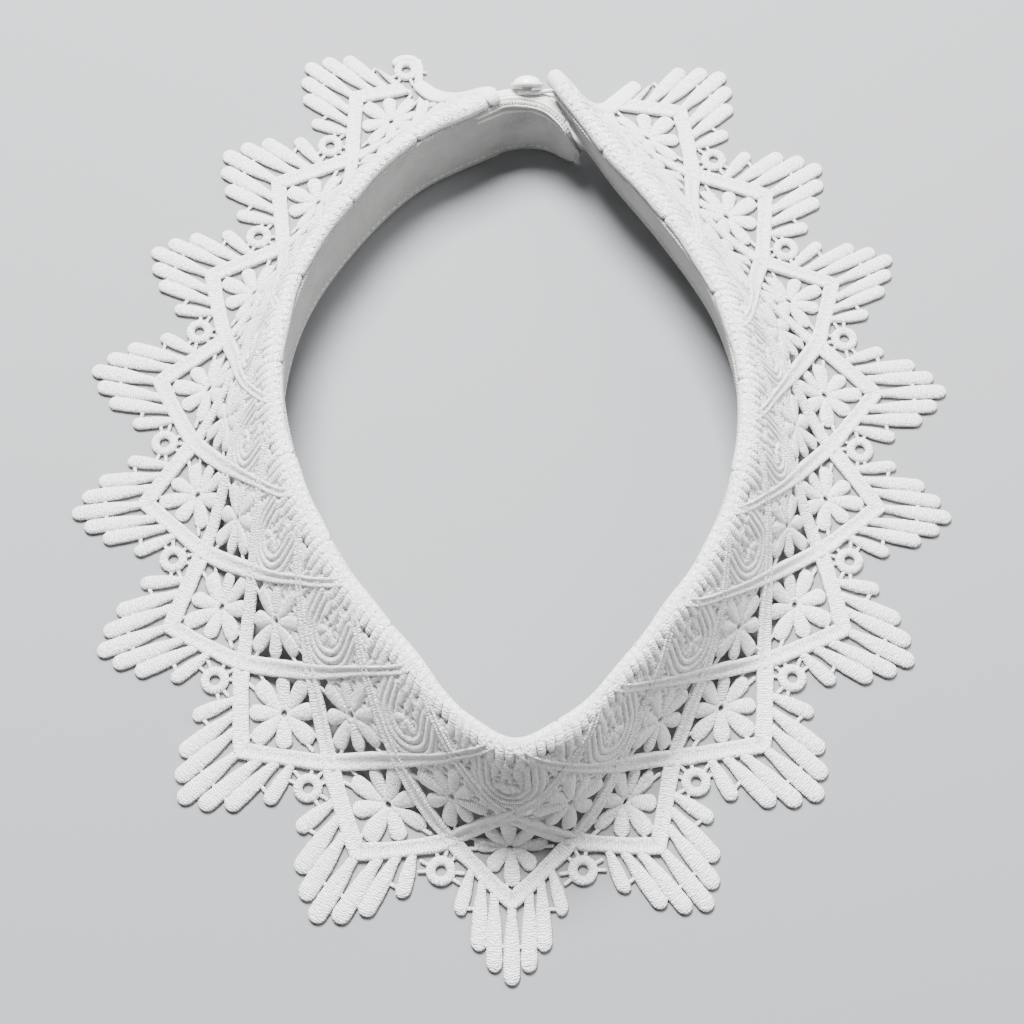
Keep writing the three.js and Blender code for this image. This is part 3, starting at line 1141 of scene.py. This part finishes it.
    def settle(self, flat: np.ndarray) -> np.ndarray:
        """Drapes flat work with the small unevenness of cloth that has been handled.

        Args:
            flat: places on the flat lace, as for CollarForm.drape().

        Returns:
            The same places in the scene, in metres.
        """
        along, across, height = flat.T
        climb = np.clip(across / self.form.fall, 0, 1)
        shift = 0.16 * np.sin(along * 0.173 + 1.0) + 0.12 * np.sin(along * 0.097 + across * 0.21)
        swell = climb * (0.22 * np.sin(along * 0.131 + 0.4) + 0.16 * np.sin(along * 0.29 + across * 0.3))
        return self.form.drape(np.stack([along + shift, across, height + swell], axis=1))

    def build(self) -> None:
        """Builds and dresses the lace and its end tapes."""
        thread = LACE_THREAD.material()
        ground = self.work("lace_ground", self.ground_bars(), 4, 11, self.settle)
        wall = self.work("lace_wall_motifs", self.wall_bars(), 1, 15, self.settle)
        roll = self.work("lace_neck_roll", self.neck_edge(), 0, 16, self.settle)
        net = self.work("lace_net", self.net(), 0, 14, self.settle)
        fringe = self.work("lace_fringe", self.fingers(), 0, 12, self.form.lay_fingers)
        rings = self.work(
            "lace_valley_rings", self.valley_ring(), 0, 13, self.form.lay_in_valley, whole=True)
        cloth = Stitchery(21)
        cloth.lay_all(self.hems())
        hems = cloth.finish("end_tapes", self.form.drape)
        dress(ground, thread, "lace_thread", "lace_fall")
        for piece in (wall, roll, net, fringe, rings):
            dress(piece, thread, "lace_thread")
        dress(hems, TAPE_CLOTH.material(), "hem_cloth", "hem_left", "hem_right")


# ---- The band, the button and the loop -----------------------------------------------------------

@dataclass
class NeckBand:
    """The plain cloth band inside the neck, which runs on as a tab under the button."""

    form: CollarForm
    height: float = 19.0
    wall: float = 1.2
    seam_gap: float = 0.3
    short: float = 0.12             # how far it stops short of the lace's right end, in scallops
    corner: float = 5.0             # of the tab's lower corner
    lead: float = 0.4               # where the tab takes up the band's direction, in scallops
    tab: tuple[tuple[float, float, float], ...] = (     # the tab's upper edge, from its end
        (14.2, 80.2, 18.6), (8.2, 86.2, 19.2), (2.6, 87.9, 19.5))
    tab_lean: float = 4.0           # how far the lower edge stands outside the upper, at the tab's end
    lean: tuple[float, ...] = (     # the same at even shares of the band's way round, from its left end
        0.0, 0.6, 2.2, 3.6, 3.6, 2.5, 3.4, 3.8, 4.2, 5.0, 6.5)
    step: float = 1.1               # between stations
    run: np.ndarray = field(init=False, repr=False)
    top: np.ndarray = field(init=False, repr=False)
    low: np.ndarray = field(init=False, repr=False)
    out: np.ndarray = field(init=False, repr=False)

    def __post_init__(self) -> None:
        """Works out the band's upper edge, its lower edge's height and its outward directions."""
        start, lead = self.form.neck_edge(np.array([0.0, self.lead]))
        route = np.vstack([np.array(self.tab) - MIDDLE, start, lead])
        tab = smooth_curve(route, np.linspace(0, 3, 61))[:-1]
        around = np.linspace(0, self.form.scallops - self.short, 700)
        line = np.vstack([tab, self.form.neck_edge(around)])
        leans = np.interp(around / around[-1] * (len(self.lean) - 1), range(len(self.lean)), self.lean)
        leans = np.concatenate([np.linspace(1, 0, len(tab)) ** 1.5 * self.tab_lean, leans])
        run = np.concatenate([[0.0], np.linalg.norm(np.diff(line, axis=0), axis=1).cumsum()])
        self.run = np.linspace(0, run[-1], round(run[-1] / self.step) + 1)
        spread = [np.interp(self.run, run, line[:, axis]) for axis in range(3)]
        self.top = np.stack(spread, axis=1) - (0, 0, self.seam_gap)
        lean = np.interp(self.run, run, leans)
        along = unit(np.gradient(self.top, axis=0) * (1, 1, 0))
        self.out = np.stack([along[:, 1], -along[:, 0], 0 * along[:, 0]], axis=1)
        cut = self.corner - np.sqrt(self.corner ** 2 - np.maximum(self.corner - self.run, 0) ** 2)
        self.low = self.top + self.out * lean[:, None]
        self.low[:, 2] = np.maximum(self.top[:, 2] - self.height, 0) + cut
        self.top[:, 2] -= cut / 2

    def settle(self, flat: np.ndarray) -> np.ndarray:
        """Places on the band. Its flat places run the other way round, so it turns faces inside out.

        Args:
            flat: (run from the tab's end, share of the height from the lower edge, depth in millimetres
                inwards from the outer face), one a row.

        Returns:
            The same places in the scene, in metres.
        """
        run, share, depth = flat.T
        curves = []
        for grid in (self.low, self.top, self.out):
            curves.append(np.stack([np.interp(run, self.run, grid[:, axis]) for axis in range(3)], axis=1))
        low, top, out = curves
        slack = np.sin(np.pi * np.clip(share, 0, 1)) ** 1.5 * (1 + 0.9 * np.exp(-((run - 12) / 12) ** 2))
        crease = 0.35 * np.sin(run * 0.11 + share * 2.4) + 0.2 * np.sin(run * 0.27 - share * 4.0 + 1.3)
        pull = 1.1 * np.exp(-((run - 15) / 11) ** 2) * np.sin(share * 8.0 + run * 0.22)
        shift = -depth - np.abs(crease + pull) * slack
        places = low + (top - low) * share[:, None] + out * shift[:, None]
        places[:, 2] = np.maximum(places[:, 2], 0.0)
        return places * MM

    def section(self) -> list[tuple[float, float]]:
        """The band's section, folded in along the lower edge.

        Returns:
            Height share and depth of points round it.
        """
        rows, wall, round_up = 9, self.wall, 0.03
        face = [(round_up + (1 - 2 * round_up) * row / rows, 0.0) for row in range(rows + 1)]
        back = [(share, wall) for share, _ in reversed(face)]
        top = [(1.0, wall * 0.25), (1.0, wall * 0.75)]
        fold = [(0.07, wall + 0.32), (0.02, wall + 0.3), (0.0, wall * 0.8), (0.0, wall * 0.2)]
        return [*face, *top, *back[:-1], *fold]

    def cloth(self) -> bpy.types.Object:
        """Weaves the band: a grid bent round its section, welded and closed at both ends.

        Returns:
            The band's cloth.
        """
        work, section = new_cloth(), self.section()
        sides = len(section)

        def spot(station: int, side: int) -> Spot:
            """The place and the weave of one point of the band.

            Args:
                station: its station along the band.
                side: its place round the section.

            Returns:
                (run, height share, depth), and (run, how far round the cloth).
            """
            run = self.run[station]
            share, depth = section[side % sides]
            return (run, share, depth), (run, (share if side <= sides / 2 else 2 - share) * self.height)

        wrap_grid(work, len(self.run) - 1, sides, spot, 1e-4)
        rims = [edge for edge in work.edges if edge.is_boundary]
        bmesh.ops.holes_fill(work, edges=rims, sides=0)
        bmesh.ops.recalc_face_normals(work, faces=work.faces[:])
        return finish_mesh(work, "neck_band_cloth", self.settle)

    def seam(self, share: float, depth: float, start: float, end: float, pitch: float) -> Iterator[Bar]:
        """A row of running stitches along the band.

        Args:
            share: its height, as a share of the band's.
            depth: how deep it lies, inwards from the outer face.
            start: where it starts along the band.
            end: where it ends.
            pitch: from one stitch to the next.

        Yields:
            Its stitches.
        """
        stitch = pitch * 0.68
        for number in range(int((end - start) / pitch)):
            run = start + number * pitch
            yield Bar(((run, share), (run + stitch, share)), (0.02,), height=0.3, base=depth, sides=6,
                      step=0.8)

    def layers(self) -> Iterator[Bar]:
        """The folded edges of the layers sewn together along the tab's top.

        Yields:
            Four folds outside the cloth and two cords inside it.
        """
        folds = (       # height share, depth, start and end along the band
            (0.965, -1.0, 3.0, 27.0),
            (0.96, -1.9, 5.0, 25.0),
            (0.95, -2.8, 6.0, 23.5),
            (0.935, -3.6, 7.5, 21.0),
        )
        for share, depth, start, end in folds:
            yield Bar(((start, share), (end, share)), (0.02, 0.07, 0.085, 0.085, 0.07, 0.02), height=1.0,
                      base=depth, sides=10, step=0.8)
        for share in (0.965, 0.88):
            yield Bar(((1.0, share), (27.0, share - 0.02)), (0.035,), height=0.55, base=self.wall - 0.3,
                      sides=8, step=0.8)

    def build(self) -> None:
        """Builds and dresses the band and its stitching."""
        band = self.cloth()
        dress(band, SHADED_BAND_CLOTH.material(), "band_cloth", "neck_band")
        thread = Stitchery(31, weld=0.0004)
        length = self.run[-1]
        thread.lay_all(self.seam(0.1, self.wall, 6.0, length - 1.5, 1.9))
        thread.lay_all(self.layers())
        stitches = thread.finish("neck_band_edging", self.settle)
        dress(stitches, TAPE_CLOTH.material(), "band_cloth")


@dataclass
class Fastening:
    """The domed shank button on the tab, and the thread loop from the other end that goes round it."""

    radius: float = 4.0
    rim: float = 0.9                # thickness of the button at its rim
    dome: float = 2.0               # how far its face is crowned
    shank: float = 1.1              # the shank's radius
    shank_length: float = 2.4
    tilt: float = math.radians(30)  # its face looks back and a little up
    seat: tuple[float, float, float] = (3.6, 89.1, 18.0)
    thread: float = 0.5             # radius of the covered loop
    turn: float = 1.95              # radius of its turn round the shank
    lift: float = 1.15              # from the shank's end to the loop's plane
    upper_end: tuple[float, float, float] = (13.0, 91.4, 18.5)
    lower_end: tuple[float, float, float] = (14.8, 92.6, 13.7)

    @property
    def pose(self) -> Matrix:
        """The button's own frame: its shank's end at the seat, facing along its own Y."""
        return Matrix.Translation(Vector(self.seat) - Vector(MIDDLE)) @ Matrix.Rotation(self.tilt, 4, "X")

    def button(self) -> bpy.types.Object:
        """Spins the button from its profile: a shank, a raised rim, a groove and a dome.

        Returns:
            The button.
        """
        back, face = self.shank_length, self.shank_length + self.rim
        groove = self.radius * 0.86
        profile = [(0, 0), (self.shank, 0), (self.shank, back - 0.2), (self.shank + 0.25, back),
                   (self.radius - 0.45, back), (self.radius - 0.1, back + 0.15), (self.radius, back + 0.45)]
        for degrees in (25, 60, 90, 125, 160):
            angle = math.radians(degrees)
            middle = self.radius - 0.25
            profile.append((middle + 0.25 * math.cos(angle), face - 0.1 + 0.22 * math.sin(angle)))
        profile += [(groove + 0.02, face - 0.08), (groove - 0.05, face - 0.14), (groove - 0.12, face)]
        for step in range(1, 9):
            angle = step / 8 * math.pi / 2
            profile.append(((groove - 0.12) * math.cos(angle), face + self.dome * math.sin(angle)))
        work = bmesh.new()
        verts = [work.verts.new((radius, height, 0)) for radius, height in profile]
        edges = [work.edges.new(pair) for pair in zip(verts[:-1], verts[1:])]
        bmesh.ops.spin(work, geom=verts + edges, cent=(0, 0, 0), axis=(0, 1, 0), angle=2 * math.pi,
                       steps=64, use_merge=True, dvec=(0, 0, 0))
        bmesh.ops.remove_doubles(work, verts=work.verts[:], dist=0.001)
        bmesh.ops.recalc_face_normals(work, faces=work.faces[:])
        bmesh.ops.transform(work, matrix=Matrix.Scale(MM, 4) @ self.pose, verts=work.verts[:])
        return finish_mesh(work, "button_moulding")

    def loop(self) -> bpy.types.Object:
        """Winds the covered thread loop, a ring carried along its route.

        Returns:
            The loop.
        """
        ends = [Vector(end) - Vector(MIDDLE) for end in (self.upper_end, self.lower_end)]
        bend = []
        for degrees in (60, 90, 135, 180, 225, 270, 300):
            angle = math.radians(degrees)
            bend.append(self.pose @ Vector(
                (self.turn * math.cos(angle), self.lift, self.turn * math.sin(angle))))
        points = np.array([ends[0], *bend, ends[1]])
        at = np.linspace(0, len(points) - 1, 97)
        line = smooth_curve(points, at)
        run = np.concatenate([[0.0], np.linalg.norm(np.diff(line, axis=0), axis=1).cumsum()])
        ahead = unit(np.gradient(line, axis=0))
        across = Vector((0, 1, 0))
        frames = []
        for direction in ahead:
            side = Vector(direction).cross(across).normalized()
            frames.append((side, side.cross(Vector(direction)).normalized()))
        last, sides = len(line) - 1, 12

        def spot(station: int, number: int) -> Spot:
            """The place and the winding of one point of the loop.

            Args:
                station: its station along the loop.
                number: its place round the thread.

            Returns:
                The place, and (run, how far round the thread).
            """
            turn = 2 * math.pi * number / sides
            full = 0.0 if station in (0, last) else self.thread * (1 + 0.06 * math.sin(run[station] * 9))
            side, up = frames[station]
            place = Vector(line[station]) + (side * math.cos(turn) + up * math.sin(turn)) * full
            return place, (run[station], turn * self.thread)

        work = new_cloth()
        wrap_grid(work, last, sides, spot, 0.0005)
        bmesh.ops.recalc_face_normals(work, faces=work.faces[:])
        bmesh.ops.scale(work, vec=(MM, MM, MM), verts=work.verts[:])
        return finish_mesh(work, "button_loop_thread")

    def build(self) -> None:
        """Builds and dresses the button and its loop."""
        dress(self.button(), BUTTON_GLOSS.material(), "button_gloss", "button")
        dress(self.loop(), LOOP_THREAD.material(), "loop_thread", "button_loop")


# ---- Stage ---------------------------------------------------------------------------------------

@dataclass
class Studio:
    """Pale floor, soft lights and the camera."""

    eye: tuple[float, float, float] = (-0.0009, -0.1535, 0.3385)
    target: tuple[float, float, float] = (-0.0009, -0.0098, 0.0)
    lens: float = 57.9

    def camera(self) -> None:
        """Sets the camera above the collar's front."""
        data = bpy.data.cameras.new("camera")
        data.lens, data.sensor_width, data.clip_start = self.lens, 36.0, 0.01
        camera = bpy.data.objects.new("camera", data)
        camera.location = self.eye
        towards = Vector(self.target) - Vector(self.eye)
        camera.rotation_euler = towards.to_track_quat("-Z", "Y").to_euler()
        bpy.context.scene.collection.objects.link(camera)
        bpy.context.scene.camera = camera

    def light(self, name: str, place: tuple[float, float, float], size: float, watts: float) -> None:
        """Hangs one square soft light that faces the collar.

        Args:
            name: its name.
            place: its middle.
            size: its side.
            watts: its power.
        """
        data = bpy.data.lights.new(name, "AREA")
        data.shape, data.size, data.energy = "SQUARE", size, watts
        lamp = bpy.data.objects.new(name, data)
        lamp.location = place
        lamp.rotation_euler = (-Vector(place)).to_track_quat("-Z", "Y").to_euler()
        bpy.context.scene.collection.objects.link(lamp)

    def floor(self) -> None:
        """Lays the pale floor."""
        work = bmesh.new()
        bmesh.ops.create_grid(work, x_segments=1, y_segments=1, size=2.0)
        piece = finish_mesh(work, "floor")
        made = bpy.data.materials.new("floor paper")
        made.use_nodes = True
        sheet = NodeSheet(made.node_tree)
        shader = made.node_tree.nodes["Principled BSDF"]
        grain = sheet.noise(sheet.node("ShaderNodeTexCoord").outputs["Object"], 1500.0, 3.0)
        bump = sheet.node("ShaderNodeBump")
        sheet.feed(bump, Height=grain, Distance=0.02 * MM, Strength=0.4)
        sheet.feed(shader, Base_Color=(0.25, 0.255, 0.265, 1.0), Roughness=0.9, Normal=bump.outputs[0])
        piece.data.materials.append(made)

    def build(self) -> None:
        """Sets up everything round the collar."""
        self.camera()
        self.floor()
        self.light("key light", (-0.1, 0.42, 0.72), 0.35, 39.0)
        self.light("side light", (0.6, 0.25, 0.45), 0.5, 5.0)
        self.light("front fill", (-0.35, -0.6, 0.5), 0.8, 0.8)
        world = bpy.data.worlds.new("studio")
        world.use_nodes = True
        world.node_tree.nodes["Background"].inputs["Color"].default_value = (1.0, 1.0, 1.0, 1.0)
        world.node_tree.nodes["Background"].inputs["Strength"].default_value = 0.17
        bpy.context.scene.world = world


def main() -> None:
    """Builds the collar in order and notes its size."""
    logging.basicConfig(level=logging.INFO, format="%(name)s %(message)s")
    satin_group()
    weave_group()
    form = CollarForm()
    Studio().build()
    Lace(form).build()
    NeckBand(form).build()
    Fastening().build()


if __name__ == "__main__":
    main()
